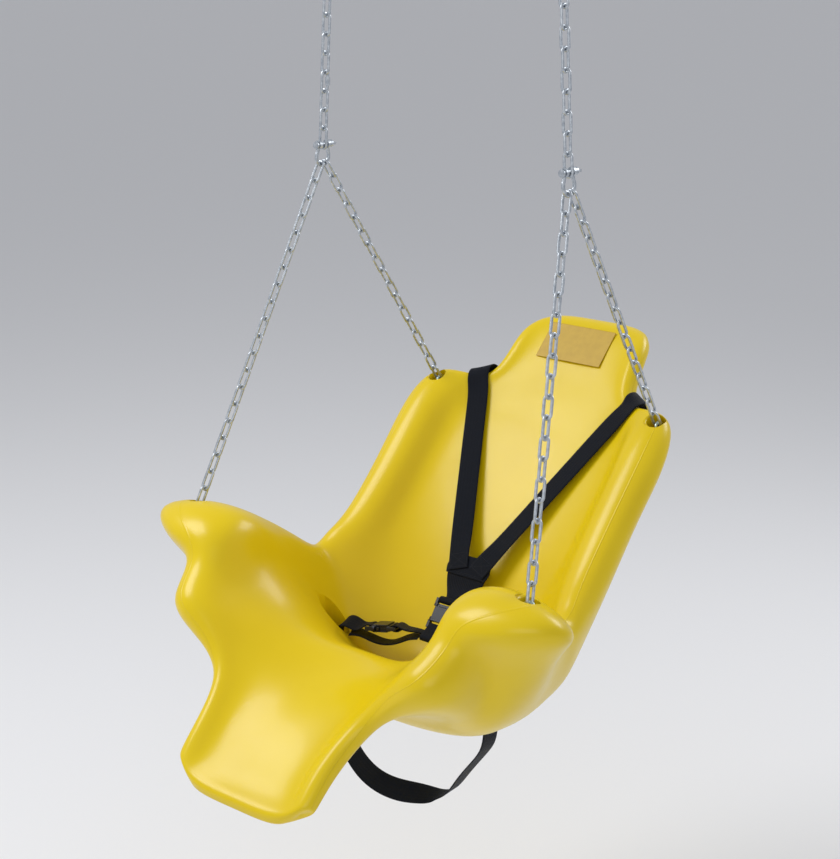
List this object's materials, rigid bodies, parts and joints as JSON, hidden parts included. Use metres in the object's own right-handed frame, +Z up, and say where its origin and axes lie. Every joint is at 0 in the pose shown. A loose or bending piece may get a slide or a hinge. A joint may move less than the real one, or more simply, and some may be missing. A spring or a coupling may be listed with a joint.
{
  "type": "high-back bucket swing seat",
  "caption": "High-back bucket swing seat with arm horns and leg rest, hung on chain bridles from beam hangers, with shoulder and lap harness",
  "frame": {"origin": "middle of the two beam plates, on the beam underside", "axes": "+X across the seat, to the left hand of a rider; +Y towards the back rest; -Y the way the rider faces; +Z up"},
  "size_m": [0.8336, 0.9534, 1.4627],
  "materials": {
    "zinc": "hot-dip galvanised",
    "eye_zinc": "passivated zinc plate",
    "bronze": "sintered bronze",
    "seat_yellow": "rotomoulded, glossy",
    "label": "printed film, plain",
    "webbing": "woven nylon",
    "moulding": "injection moulded"
  },
  "bodies": {
    "hangers": {"hangers": "zinc", "pivot_bolts": "zinc", "pivot_nuts": "zinc"},
    "upper_chains": {"swing_eyes": "zinc", "bushings": "bronze", "upper_chain_left": "zinc", "upper_chain_right": "zinc", "quick_link": "zinc"},
    "chest_plug": {"chest_plug": "moulding", "chest_strap": "webbing", "yoke": "webbing"},
    "chest_prong_left": {"chest_prong_left": "moulding"},
    "chest_prong_right": {"chest_prong_right": "moulding"},
    "lap_plug": {"lap_plug": "moulding"},
    "lap_prong_front": {"lap_prong_front": "moulding"},
    "lap_prong_rear": {"lap_prong_rear": "moulding"},
    "seat": {"shackle_bows": "zinc", "shackle_pins": "zinc", "front_chain_left": "zinc", "front_chain_right": "zinc", "back_chain_left": "zinc", "back_chain_right": "zinc", "eye_bolts": "eye_zinc", "eye_washers": "eye_zinc", "eye_nuts": "eye_zinc", "shell": "seat_yellow", "label": "label", "shoulder_strap_left": "webbing", "shoulder_strap_right": "webbing", "anchor_plates": "zinc", "anchor_screws": "zinc", "chest_socket": "moulding", "chest_loop": "webbing", "lap_strap_left": "webbing", "lap_socket": "moulding", "lap_strap_right": "webbing", "lap_tail": "webbing", "under_strap": "webbing"}
  },
  "joints": [
    {"name": "swing", "type": "hinge", "parent": "hangers", "child": "upper_chains", "pos_m": [0, 0, -0.045], "axis": [1, 0, 0], "range_deg": [-45, 45]},
    {"name": "seat_pitch", "type": "hinge", "parent": "upper_chains", "child": "seat", "pos_m": [0, 0, -0.35552], "axis": [1, 0, 0], "range_deg": [-14, 14]},
    {"name": "chest_release", "type": "slide", "parent": "seat", "child": "chest_plug", "axis": [0, 0.5822, 0.8131], "range_m": [0, 0.025], "deforming": ["shoulder_strap_left", "shoulder_strap_right"]},
    {"name": "chest_prong_left_squeeze", "type": "hinge", "parent": "chest_plug", "child": "chest_prong_left", "pos_m": [-0.0155, 0.02443, -1.11457], "axis": [0, -0.8131, 0.5822], "range_deg": [0, 8], "stiffness_Nm_per_rad": 0.3},
    {"name": "chest_prong_right_squeeze", "type": "hinge", "parent": "chest_plug", "child": "chest_prong_right", "pos_m": [0.0155, 0.02443, -1.11457], "axis": [0, -0.8131, 0.5822], "range_deg": [-8, 0], "stiffness_Nm_per_rad": 0.3},
    {"name": "lap_release", "type": "slide", "parent": "seat", "child": "lap_plug", "axis": [0.9231, 0.3712, 0.1003], "range_m": [0, 0.025], "deforming": ["lap_strap_right"]},
    {"name": "lap_prong_front_squeeze", "type": "hinge", "parent": "lap_plug", "child": "lap_prong_front", "pos_m": [-0.07585, -0.02124, -1.15157], "axis": [-0.1721, 0.1655, 0.9711], "range_deg": [0, 8], "stiffness_Nm_per_rad": 0.3},
    {"name": "lap_prong_rear_squeeze", "type": "hinge", "parent": "lap_plug", "child": "lap_prong_rear", "pos_m": [-0.06519, -0.04957, -1.14485], "axis": [-0.1721, 0.1655, 0.9711], "range_deg": [-8, 0], "stiffness_Nm_per_rad": 0.3}
  ],
  "couplings": [
    {"joint": "chest_prong_right_squeeze", "follows": "chest_prong_left_squeeze", "ratio": -1},
    {"joint": "lap_prong_rear_squeeze", "follows": "lap_prong_front_squeeze", "ratio": -1}
  ]
}
